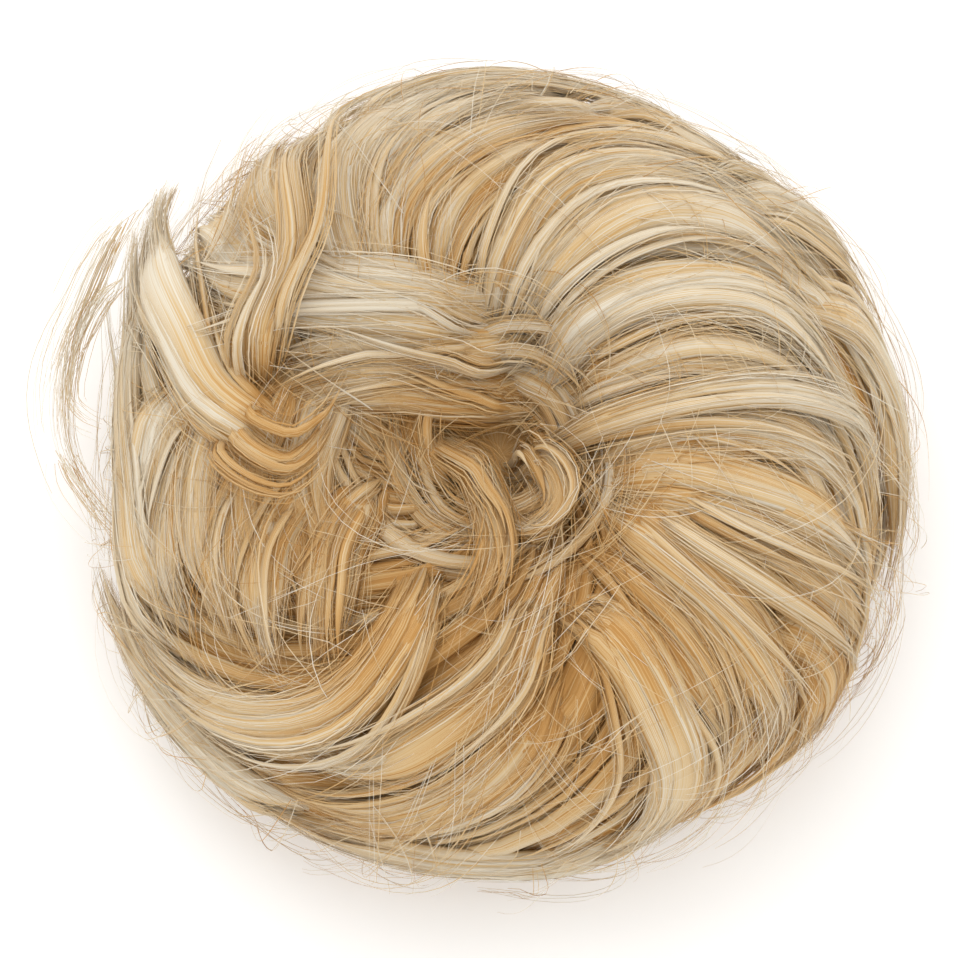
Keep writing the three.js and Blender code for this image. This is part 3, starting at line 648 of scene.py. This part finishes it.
    def skinned(curve, radius, sides, breadth, depth, streaks, band):
        """A closed skin along the curves, with a strip for each of them in one band of the map."""
        low, high, rows = band
        normal = t.add("GeometryNodeSetCurveNormal", mode="FREE")
        t.feed(normal.inputs["Curve"], curve)
        t.feed(normal.inputs["Normal"], t.named("facing", "FLOAT_VECTOR"))
        profile = t.add("GeometryNodeCurvePrimitiveCircle", mode="RADIUS")
        profile.inputs["Resolution"].default_value = sides
        profile.inputs["Radius"].default_value = 1.0
        shaped = t.add("GeometryNodeTransform")
        t.feed(shaped.inputs["Geometry"], profile.outputs[0])
        shaped.inputs["Scale"].default_value = (depth, breadth, 1)
        marked = t.stored(shaped.outputs[0], "hair_side", along)
        sized = t.add("GeometryNodeSetCurveRadius", normal.outputs[0], None, radius).outputs[0]
        skin = t.add("GeometryNodeCurveToMesh")
        t.feed(skin.inputs["Curve"], sized)
        t.feed(skin.inputs["Profile Curve"], marked)
        skin.inputs["Fill Caps"].default_value = True
        if "Scale" in skin.inputs:
            t.feed(skin.inputs["Scale"], radius)
        count = t.add("GeometryNodeAttributeDomainSize", curve, component="CURVE").outputs["Spline Count"]
        column = t.maths("FLOOR", t.maths("DIVIDE", strand, float(rows)))
        row = t.minus(strand, t.times(column, float(rows)))
        columns = t.maths("CEIL", t.maths("DIVIDE", count, float(rows)))
        across = t.maths("DIVIDE", t.maths("ADD", column, t.mixed(t.named("hair_side"), *STRIP_SIDES)), columns)
        upwards = t.maths("DIVIDE", t.maths("ADD", row, t.mixed(t.named("hair_along"), *STRIP_ENDS)), float(rows))
        place = t.add("ShaderNodeCombineXYZ", across, t.mixed(upwards, low, high)).outputs[0]
        mapped = t.stored(skin.outputs[0], "OFBake", place, "FLOAT2", "CORNER")
        return t.stored(mapped, "hair_streaks", streaks)

    # Cores, darkened with painted shade below their clump's tone
    cores = laid("clump", t.times(given["Clumps"], given["Cores"]), path, facing,
                 t.maths("ADD", root, CORE_START), t.minus(tip, CORE_STOP), CORE_RINGS,
                 t.minus(clump_tone, CORE_PAINTED_SHADE))
    left = t.minus(1.0, along)
    core_size = t.times(girth, t.times(opening(left, *CORE_TIP), given["Core Size"]))
    cores = skinned(cores, core_size, CORE_SIDES, CORE_BREADTH, CORE_DEPTH, CORE_LINES, CORE_MAP)

    # Painted shade darkens the body under the cores
    body_painted_shade_tone = t.minus(t.named("tone"), BODY_PAINTED_SHADE)
    body = laid("body", given["Bodies"], (0.0, 0.0, 0.0), up, BODY_START, BODY_STOP, BODY_RINGS, body_painted_shade_tone)
    ends = t.times(opening(along, *BODY_ROOT), opening(left, *BODY_TIP))
    body_size = t.times(half_width, t.times(ends, BODY_BREADTH))
    body = skinned(body, body_size, BODY_SIDES, 1, BODY_DEPTH, BODY_LINES, BODY_MAP)

    # Each hair's tone spreads about its clump's, with painted light: a little paler, and paler on the top of the clump
    hair_tone = t.maths("MULTIPLY_ADD", t.minus(drawn(11, strand), 0.5),
                        t.times(given["Tone Spread"], HAIR_SPREAD),
                        t.maths("ADD", clump_tone, HAIR_PAINTED_LIGHT))
    hair_tone = t.maths("MULTIPLY_ADD", t.minus(above, HAIR_LEVEL), HAIR_TOP_PAINTED_LIGHT, hair_tone)
    start = t.maths("MULTIPLY_ADD", drawn(12, strand), HAIR_START, root)
    end = t.minus(tip, t.times(t.maths("POWER", drawn(13, strand), 2.0), HAIR_STOP))
    hairs = laid("hair", given["Hairs"], hair_path, turned_out, start, end, given["Rings"], hair_tone)
    thin = t.mixed(t.maths("POWER", along, 3.0), *HAIR_THINNING)
    wide = t.mixed(t.maths("POWER", drawn(14, strand), 2.5), NARROWEST, given["Ribbons"])
    radius = t.times(given["Hair Width"], t.times(thin, wide))
    lines = t.times(t.minus(wide, NARROWEST), RIBBON_LINES)
    hairs = skinned(hairs, radius, HAIR_SIDES, 1, RIBBON_DEPTH, lines, HAIR_MAP)

    join = t.add("GeometryNodeJoinGeometry")
    for part, smooth in ((hairs, False), (cores, True), (body, True)):
        t.tree.links.new(t.add("GeometryNodeSetShadeSmooth", part, None, smooth).outputs[0], join.inputs[0])
    real = t.add("GeometryNodeRealizeInstances", join.outputs[0]).outputs[0]
    above = t.vector("MAXIMUM", t.add("GeometryNodeInputPosition").outputs[0], (-1.0, -1.0, FLOOR_CLEARANCE / 2))
    real = t.add("GeometryNodeSetPosition", real, None, above).outputs[0]
    finished = t.add("GeometryNodeSetMaterial")
    t.feed(finished.inputs["Geometry"], real)
    t.feed(finished.inputs["Material"], given["Hair Material"])
    t.add("NodeGroupOutput", finished.outputs[0])
    return group


BLOND = blond_hair_material()
HAIR_TREE = hair_tree()
INPUT_NAMES = {item.name: item.identifier for item in HAIR_TREE.interface.items_tree if item.in_out == "INPUT"}


def grow_hair(name, guides, **inputs):
    """Runs the hair tree on a set of guides and keeps its result as one plain mesh."""
    made = guide_object(name, guides)
    modifier = made.modifiers.new("hair", "NODES")
    modifier.node_group = HAIR_TREE
    modifier[INPUT_NAMES["Hair Material"]] = BLOND
    for label, value in inputs.items():
        modifier[INPUT_NAMES[label.replace("_", " ")]] = value
    bpy.context.view_layer.update()
    evaluated = made.evaluated_get(bpy.context.evaluated_depsgraph_get())
    mesh = bpy.data.meshes.new_from_object(evaluated)
    made.modifiers.clear()
    guide_mesh = made.data
    made.data = mesh
    mesh.name = name
    bpy.data.meshes.remove(guide_mesh)
    return made


FLOOR_HALF = 3.0
FLOOR_COLOUR, FLOOR_ROUGHNESS = (0.97, 0.97, 0.97, 1), 0.9


def matte_floor():
    mesh = bpy.data.meshes.new("floor")
    half = FLOOR_HALF
    mesh.from_pydata([(-half, -half, 0), (half, -half, 0), (half, half, 0), (-half, half, 0)], [], [(0, 1, 2, 3)])
    floor = in_scene("floor", mesh)
    material, _, bsdf = new_material("white_paper", FLOOR_ROUGHNESS)
    bsdf.inputs["Base Color"].default_value = FLOOR_COLOUR
    mesh.materials.append(material)


# Camera and lights, placed from the middle of the bun
TARGET_HEIGHT = 0.025
CAMERA_ELEVATION = math.radians(77)
CAMERA_DISTANCE = 0.611
CAMERA_LENS, CAMERA_SENSOR = 135, 36
CAMERA_SHIFT = -21 / 958, -17 / 958  # pixels of the photo over its side
KEY_PLACE, KEY_WATTS = (-0.2, 0.6, 0.75), 3
FILL_PLACE, FILL_WATTS = (0.5, -0.4, 0.9), 0.6
SOFTBOX_SIZE = 0.9
SKY_COLOUR, SKY_STRENGTH = (1, 0.99, 0.97, 1), 1.17


def camera_and_light():
    """A long lens almost straight above, with soft light from the top of the picture."""
    scene = bpy.context.scene
    target = Vector((RING_MIDDLE.x, RING_MIDDLE.y, TARGET_HEIGHT))
    back = Vector((0, -math.cos(CAMERA_ELEVATION), math.sin(CAMERA_ELEVATION)))
    camera = bpy.data.cameras.new("camera")
    camera.lens, camera.sensor_width = CAMERA_LENS, CAMERA_SENSOR
    camera.shift_x, camera.shift_y = CAMERA_SHIFT
    eye = in_scene("camera", camera)
    eye.location = target + back * CAMERA_DISTANCE
    eye.rotation_euler = back.to_track_quat("Z", "Y").to_euler()
    scene.camera = eye

    def softbox(name, place, watts):
        lamp = bpy.data.lights.new(name, "AREA")
        lamp.size, lamp.energy = SOFTBOX_SIZE, watts
        made = in_scene(name, lamp)
        made.location = target + Vector(place)
        made.rotation_euler = Vector(place).to_track_quat("Z", "Y").to_euler()

    softbox("key_softbox", KEY_PLACE, KEY_WATTS)
    softbox("fill_softbox", FILL_PLACE, FILL_WATTS)
    world = bpy.data.worlds.new("studio")
    world.use_nodes = True
    world.node_tree.nodes["Background"].inputs["Color"].default_value = SKY_COLOUR
    world.node_tree.nodes["Background"].inputs["Strength"].default_value = SKY_STRENGTH
    scene.world = world
    scene.view_settings.view_transform = "Standard"


def ringed_skin(name, rings, poles, tone, lines):
    """A closed skin through rings of points, from pole to pole, or joined end to end where there are no poles."""
    steps, count = len(rings[0]), len(rings)
    points = [point for ring in rings for point in ring] + poles
    faces, places = [], []
    for row in range(count - 1 if poles else count):
        above = ((row + 1) % count - row) * steps
        for k in range(steps):
            here, there = row * steps + k, row * steps + (k + 1) % steps
            faces.append((here, here + above, there + above, there))
            places += [(k, row), (k, row + 1), (k + 1, row + 1), (k + 1, row)]
    if poles:
        last, top = (count - 1) * steps, count * steps
        for k in range(steps):
            faces.append((top, k, (k + 1) % steps))
            places += [(k + 0.5, -1), (k, 0), (k + 1, 0)]
        for k in range(steps):
            faces.append((last + k, top + 1, last + (k + 1) % steps))
            places += [(k, count - 1), (k + 0.5, count), (k + 1, count - 1)]
    mesh = bpy.data.meshes.new(name)
    mesh.from_pydata(points, [], faces)
    low, high = (-1, count) if poles else (0, count)
    across = [k / steps for k, _ in places]
    along = [(row - low) / (high - low) for _, row in places]
    corners = [value for pair in zip(across, along) for value in pair]
    mesh.uv_layers.new(name="OFBake").data.foreach_set("uv", corners)
    hold(mesh, "hair_side", across, "CORNER")
    hold(mesh, "hair_along", along, "CORNER")
    for label, value in (("hair_tone", tone), ("hair_streaks", lines), ("strand", 0.0)):
        hold(mesh, label, [value] * len(points))
    mesh.polygons.foreach_set("use_smooth", [True] * len(faces))
    mesh.update()
    return in_scene(name, mesh)


def ring_body():
    """The dense hair inside the ring, under the strands, with the groove of the elastic and the hollow; it is dark
    brown, painted shade where it shows between the strands.
    """
    rings = []
    for row in range(1, BODY_ROWS + 1):
        reach = 3 * row / BODY_ROWS
        rings.append([ring_point(TAU * k / BODY_STEPS - RIB_TWIST * reach, reach, -BODY_SINK)
                      for k in range(BODY_STEPS)])
        for place in rings[-1]:
            place.z = max(place.z, UNDERSIDE)
    wall = [(0.6 * BUN_RADIUS, UNDERSIDE), (0.4 * BUN_RADIUS, UNDERSIDE), (HOLLOW_RADIUS, UNDERSIDE)]
    for k in range(GROOVE_STEPS + 1):
        angle = math.radians(-105 + 210 * k / GROOVE_STEPS)
        wall.append((ELASTIC_RADIUS + GROOVE * math.cos(angle), ELASTIC_HEIGHT + GROOVE * math.sin(angle)))
    wall += [(HOLLOW_RADIUS, HOLLOW_DEPTH - HOLLOW_ROUND)]
    for k in range(1, 4):
        angle = QUARTER * k / 4
        wall.append((HOLLOW_RADIUS * math.cos(angle), HOLLOW_DEPTH - HOLLOW_ROUND * (1 - math.sin(angle))))
    for radius, height in wall:
        rings.append([RING_FOOT + Vector((radius * math.cos(turn), radius * math.sin(turn), height))
                      for turn in (TAU * k / BODY_STEPS - 3 * RIB_TWIST for k in range(BODY_STEPS))])
    poles = [RING_FOOT + Vector((0, 0, height)) for height in (DISH_HEIGHT - BODY_SINK, HOLLOW_DEPTH)]
    # Tone 0.12, dark brown: painted shade under the strands
    made = ringed_skin("ring_body", rings, poles, 0.12, 420.0)
    made.data.materials.append(BLOND)
    return made


CORD_WAVE = 0.12 * MM
KNIT_ROUND, KNIT_ALONG = 8, 110
KNIT_ROUGHNESS, KNIT_BUMP, KNIT_DEPTH = 0.85, 0.6, 0.15 * MM
KNIT_DARK, KNIT_LIGHT = (0.30, 0.18, 0.075, 1), (0.62, 0.45, 0.23, 1)


def elastic_cover():
    """The elastic's knitted cover: a cord that is drawn up in small waves, in its groove round the hollow."""
    rings = []
    for row in range(CORD_SIDES):
        angle = -TAU * row / CORD_SIDES
        ring = []
        for k in range(CORD_STEPS):
            turn = TAU * k / CORD_STEPS
            thick = ELASTIC_THICKNESS / 2 - CORD_WAVE * (1 - math.cos(CORD_WAVES * turn))
            radius = ELASTIC_RADIUS + thick * math.cos(angle)
            height = ELASTIC_HEIGHT + thick * math.sin(angle)
            ring.append(on_circle(radius, turn, height))
        rings.append(ring)
    made = ringed_skin("elastic_cover", rings, [], 0.4, 1.0)
    material, t, bsdf = new_material("knitted_cover", KNIT_ROUGHNESS)
    turn, round_cord = t.held("hair_side"), t.held("hair_along")
    stitches = t.times(turn, TAU * KNIT_ALONG)
    threads = [t.maths("SINE", t.maths("MULTIPLY_ADD", round_cord, lean * TAU * KNIT_ROUND, stitches))
               for lean in (-1.0, 1.0)]
    knit = t.maths("MAXIMUM", *threads)
    ramp = t.add("ShaderNodeValToRGB", knit)
    ramp.color_ramp.elements[0].color = KNIT_DARK
    ramp.color_ramp.elements[1].color = KNIT_LIGHT
    t.feed(bsdf.inputs["Base Color"], ramp.outputs["Color"])
    bump = t.add("ShaderNodeBump")
    bump.inputs["Strength"].default_value = KNIT_BUMP
    bump.inputs["Distance"].default_value = KNIT_DEPTH
    t.feed(bump.inputs["Height"], knit)
    t.feed(bsdf.inputs["Normal"], bump.outputs[0])
    made.data.materials.append(material)
    return made


WEFT_SWEEP = 0.35
WEFT_START, WEFT_DEPTH, WEFT_HALF_THICK = 0.3 * MM, 0.5 * MM, 0.45 * MM
WEFT_OVERLAP = 1.3


def weft_guides(count, tone):
    """Wefts of hair across the flat back, from the elastic out to the foot of the ring."""
    guides = []
    for k in range(count):
        rows = []
        for step in range(GUIDE_POINTS):
            share = step / (GUIDE_POINTS - 1)
            turn = TAU * (k + 0.5) / count - WEFT_SWEEP * share
            foot = BUN_RADIUS * shape_at(RING_OUTLINE, turn) - 0.9 * RIM_UNDERCUT
            radius = HOLLOW_RADIUS + WEFT_START + (foot - HOLLOW_RADIUS) * share
            place = on_circle(radius, turn, UNDERSIDE - WEFT_DEPTH)
            rows.append((place, Vector((0, 0, -1)), math.pi * radius / count * WEFT_OVERLAP, WEFT_HALF_THICK, tone))
        guides.append(rows)
    return guides


BASE_START, BASE_LENGTH = 0.04, 2.86
BASE_SINK = 1.6 * MM
BASE_OVERLAP, BASE_MARGIN, BASE_HALF_THICK = 1.4, 1 * MM, 0.9 * MM
LOWER_TURNS, LOWER_FROM, LOWER_TO = (0.45, 0.75), (0.3, 0.6), (1.6, 1.9)  # where it makes room for the curtain


def base_guides(first, last, count, tone):
    """Runs of hair that follow the ribs of the ring from the dished middle down to the foot."""
    guides = []
    for k in range(first, last):
        start = TAU * k / count
        rows = []
        for step in range(GUIDE_POINTS):
            reach = BASE_START + BASE_LENGTH * step / (GUIDE_POINTS - 1)
            turn = start - RIB_TWIST * reach
            apart = abs((turn - CURTAIN_TURN + math.pi) % TAU - math.pi)
            sink = BASE_SINK * (1 - smoothstep(apart, *LOWER_TURNS)) * smoothstep(reach, *LOWER_FROM)
            place = ring_point(turn, reach, -BASE_SINK - sink * (1 - smoothstep(reach, *LOWER_TO)))
            radius = (place - Vector((RING_MIDDLE.x, RING_MIDDLE.y, place.z))).length
            half_width = math.pi * radius / count * BASE_OVERLAP + BASE_MARGIN
            rows.append((place, cover_normal(turn, reach), half_width, BASE_HALF_THICK, tone_at(tone, place)))
        guides.append(rows)
    return guides


# Loose hair: pairs are the least and the most, or the middle and the spread
CURTAIN_LIFT, CURTAIN_WIDTH, CURTAIN_TONE = (0.05, 0.35), (0.45, 0.8), (0.42, 0.85)
TANGLE_REACH, TANGLE_SWEEP, TANGLE_SPREAD = (0.12, 0.5), (120, 240), (-0.15, 0.35)
TANGLE_LIFT, TANGLE_WIDTH, TANGLE_TONE = (-0.35, 0.35), (0.3, 0.6), (0.3, 0.75)
STRAY_TURN, STRAY_TIP_TURN, STRAY_REACH = (1, 6), (5, 15), 0.06
STRAY_WIDTH, STRAY_LIFT, STRAY_TONE = 0.4, (0.2, 0.7), (-0.12, 0.2)
STRAY_RIM, STRAY_RIM_DROP = (1.3, 1.9), 0.7
FLYAWAY_REACH, FLYAWAY_LOWEST, FLYAWAY_LENGTH = 1.85, 2.4, (0.6, 1.7)
FLYAWAY_LEAN, FLYAWAY_BEND, FLYAWAY_TONE = (0.9, 0.7), (-0.9, 0.8), (0.5, 1)
FLYAWAY_ROOT, FLYAWAY_TIP, FLYAWAY_ARCH, FLYAWAY_SPREAD = (0.5, 3.5), 5 * MM, 2.5 * MM, 1.2 * MM


def curtain_guide(chance, share):
    """A straight fall of hair at the left, from under the standing locks down over the bun."""
    x = -0.75 - 0.95 * share  # this and the points in reaches from the middle, to the right and up
    points = [(x + 0.1, 0.3), (x, 0.05), (x - 0.06, -0.2), (x - 0.02, -0.5), (x + 0.1, -0.85 + 0.25 * share)]
    way = [(math.degrees(math.atan2(y, a)), math.hypot(a, y)) for a, y in points]
    way = [(turn % 360, reach) for turn, reach in way]
    raised = chance.uniform(*CURTAIN_LIFT)
    return lock_guide(way, chance.uniform(*CURTAIN_WIDTH), raised, raised, chance.uniform(*CURTAIN_TONE))


def tangle_guide(chance):
    """A thin curl over the middle of the dish, part of the way round it."""
    turn, reach = chance.uniform(0, 360), chance.uniform(*TANGLE_REACH)
    sweep, spread = chance.uniform(*TANGLE_SWEEP), chance.uniform(*TANGLE_SPREAD)
    way = [(turn - sweep * k / 4, max(0.08, reach + spread * k / 4)) for k in range(5)]
    raised = chance.uniform(*TANGLE_LIFT)
    return lock_guide(way, chance.uniform(*TANGLE_WIDTH), raised, raised, chance.uniform(*TANGLE_TONE))


def stray_guide(chance, side, tone, lift, tip, way):
    """A thin wisp that leaves a lock on one side and crosses its neighbour at a small angle."""
    start, end = side * chance.uniform(*STRAY_TURN), side * chance.uniform(*STRAY_TIP_TURN)
    rows = []
    for row, (turn, reach) in enumerate(way):
        share = row / (len(way) - 1)
        rows.append((turn + start + (end - start) * share, max(0.05, reach + STRAY_REACH * side * (1 - share))))
    raised = chance.uniform(*STRAY_LIFT) * (1 - STRAY_RIM_DROP * smoothstep(way[-1][1], *STRAY_RIM))
    tone = TONES[tone] + chance.uniform(*STRAY_TONE)
    return lock_guide(rows, STRAY_WIDTH, lift + raised, tip + raised / 2, tone)


def flyaway_guide(chance):
    """A loose hair or two over the bun: most run with the locks, some across them, and those at the rim stand off."""
    turn, reach = chance.uniform(0, TAU), FLYAWAY_REACH * math.sqrt(chance.uniform(0.01, 1))
    heading = turn - chance.gauss(*FLYAWAY_LEAN)
    bend = chance.gauss(*FLYAWAY_BEND)
    length = chance.uniform(*FLYAWAY_LENGTH)
    low, high = chance.uniform(*FLYAWAY_ROOT) * MM, FLYAWAY_TIP * chance.random() ** 2
    x, y = reach * math.cos(turn), reach * math.sin(turn)
    tone = chance.uniform(*FLYAWAY_TONE)
    rows = []
    for k in range(FLYAWAY_POINTS):
        share = k / (FLYAWAY_POINTS - 1)
        turn, reach = math.atan2(y, x), min(math.hypot(x, y), FLYAWAY_LOWEST)
        up = cover_normal(turn, reach)
        lift = low + (high - low) * share + FLYAWAY_ARCH * math.sin(math.pi * share)
        rows.append((RING_FOOT + cover_point(turn, reach) + up * lift, up, FLYAWAY_SPREAD, FLYAWAY_SPREAD, tone))
        step = length / FLYAWAY_POINTS
        x += step * math.cos(heading)
        y += step * math.sin(heading)
        heading += bend * step
    return rows


def wisp_guide(tone, half_width, points):
    """A loose wisp through free points in millimetres."""
    places = [Vector(point) * MM + RING_FOOT for point in points]
    rows = []
    for k in range(FLYAWAY_POINTS):
        (before, here, there, after), part = points_near(places, k / (FLYAWAY_POINTS - 1))
        bend = (2 * before - 5 * here + 4 * there - after) * part**2 + (3 * here - before - 3 * there + after) * part**3
        rows.append((here + (there - before) * part / 2 + bend / 2, Vector((0, 0, 1)), half_width, half_width, tone))
    return rows


camera_and_light()
matte_floor()

body = ring_body()
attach(body, "root")
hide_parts("hair_ring")

cover = elastic_cover()
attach(cover, "root")
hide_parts("elastic_band")

wefts = grow_hair("back_wefts", weft_guides(WEFTS, 0.5), Hairs=24, Clumps=4, Rings=8, Bodies=0, Frizz=0.6 * MM,
                  Twist=0.2, Wrap=TAU, Uneven_Roots=0.01, Uneven_Tips=0.06, Seed=95)
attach(wefts, "root")

for part in range(BASE_PIECES):
    low, high = BASE_GUIDES * part // BASE_PIECES, BASE_GUIDES * (part + 1) // BASE_PIECES
    under = grow_hair(f"gathered_hair_{part + 1}", base_guides(low, high, BASE_GUIDES, 0.5), Hairs=22, Clumps=4,
                      Rings=9, Frizz=0.9 * MM, Twist=0.3, Wrap=TAU, Uneven_Tips=0.4,
                      Uneven_Roots=0.02, Bodies=0, Seed=90 + part)
    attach(under, "root")

for seed, (name, tone, width, lift, tip, way) in enumerate(LOCKS[1:]):
    raised = max(lift, tip) > LIFTED_FREE
    standing = tip > 1
    guide = lock_guide(way, width, lift, tip, TONES[tone], STANDING_TIP_REACH if standing else TIP_REACH,
                       STANDING_TIP_WIDTH if standing else TIP_WIDTH)
    lock = grow_hair(name + "_hair", [guide], Hairs=int((36 + 96 * width) * (1.3 if standing else 1)),
                     Clumps=4 + int(3 * width), Wrap=TAU if raised else 1.4 * math.pi,
                     Core_Size=0.75 if standing else 1.0, Tone_Spread=0.1 if standing else 0.24,
                     Uneven_Tips=0.08 if standing else 0.2, Seed=seed)
    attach(lock, "root")
    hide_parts(name)

chance = random.Random(3)
curtain = grow_hair("left_curtain", [curtain_guide(chance, (k + chance.random()) / CURTAINS) for k in range(CURTAINS)],
                    Hairs=34, Clumps=3, Loose=2.4, Uneven_Tips=0.4, Seed=50)
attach(curtain, "root")

chance = random.Random(17)
tangle = grow_hair("middle_tangle", [tangle_guide(chance) for _ in range(TANGLES)], Hairs=22, Clumps=3,
                   Core_Size=0.7, Bodies=0, Frizz=1 * MM, Loose=2.5, Uneven_Tips=0.4, Seed=55)
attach(tangle, "root")

stray_guides = []
chance = random.Random(11)
for name, tone, width, lift, tip, way in LOCKS[1:]:
    for side in (-1, 1):
        stray_guides.append(stray_guide(chance, side, tone, lift, tip, way))
for part in range(STRAY_PIECES):
    strays = grow_hair(f"stray_locks_{part + 1}", stray_guides[part::STRAY_PIECES], Hairs=20, Clumps=2,
                       Core_Size=0.5, Bodies=0, Frizz=1.2 * MM, Wrap=TAU, Loose=3.0, Uneven_Tips=0.5,
                       Seed=70 + part)
    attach(strays, "root")

chance = random.Random(5)
flyaways = grow_hair("flyaway_hairs", [flyaway_guide(chance) for _ in range(FLYAWAYS)], Hairs=3, Clumps=1,
                     Cores=0, Bodies=0, Rings=13, Hair_Width=0.15 * MM, Ribbons=1.2, Frizz=4 * MM, Wrap=TAU,
                     Loose=3.0, Uneven_Tips=0.5, Tone_Spread=0.4, Seed=60)
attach(flyaways, "root")

wisps = grow_hair("left_wisps", [wisp_guide(*row) for row in WISPS], Hairs=26, Clumps=4, Cores=0, Bodies=0,
                  Rings=20, Hair_Width=0.15 * MM, Ribbons=1.3, Frizz=2.5 * MM, Wrap=TAU, Loose=2.0,
                  Uneven_Tips=0.5, Tone_Spread=0.4, Seed=61)
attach(wisps, "root")
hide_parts("left_loop")
